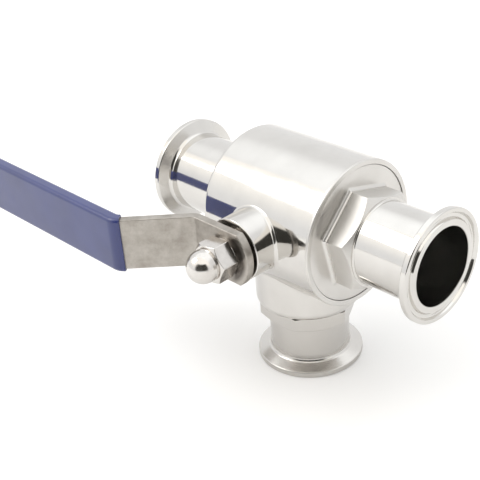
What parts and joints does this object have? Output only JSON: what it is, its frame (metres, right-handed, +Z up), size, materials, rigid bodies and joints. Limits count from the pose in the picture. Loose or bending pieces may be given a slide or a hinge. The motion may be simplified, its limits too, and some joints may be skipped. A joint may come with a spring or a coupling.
{
  "type": "three-way ball valve",
  "caption": "Hygienic three-way ball valve: a round barrel with clamp-ferrule ports left, right and below, a T-bored ball, and a cranked lever in a blue vinyl sleeve.",
  "frame": {"origin": "centre of the lower port at its ferrule's face, on which the valve stands", "axes": "+Z up along the lower branch, +X along the straight run towards the port with the screwed end cap, -Y along the stem towards the lever"},
  "size_m": [0.2478, 0.1097, 0.1085],
  "materials": {
    "polished_steel": "mirror-polished stainless steel",
    "turned_steel": "bright turned stainless steel",
    "brushed_steel": "stamped stainless strip with a fine lengthwise brushing",
    "blue_vinyl": "soft satin vinyl, dip-moulded",
    "seat_plastic": "white fluoroplastic, satin"
  },
  "bodies": {
    "housing": {"valve_body": "polished_steel", "left_port_tube": "polished_steel", "run_end_cap": "polished_steel", "drop_fitting": "polished_steel", "seat_right": "seat_plastic", "seat_left": "seat_plastic", "seat_lower": "seat_plastic", "end_cap_seal": "seat_plastic", "drop_fitting_seal": "seat_plastic", "thrust_washer": "seat_plastic", "packing_base_ring": "seat_plastic", "packing_chevron_1": "seat_plastic", "packing_chevron_2": "seat_plastic", "packing_top_ring": "seat_plastic", "packing_gland": "turned_steel", "spring_washer": "turned_steel"},
    "stem_and_lever": {"ball": "polished_steel", "stem": "turned_steel", "lever": "brushed_steel", "lever_sleeve": "blue_vinyl", "flat_washer": "turned_steel", "domed_nut": "turned_steel"}
  },
  "joints": [
    {"name": "stem_turn", "type": "hinge", "parent": "housing", "child": "stem_and_lever", "pos_m": [0, 0, 0.075], "axis": [0, -1, 0], "continuous": true}
  ]
}
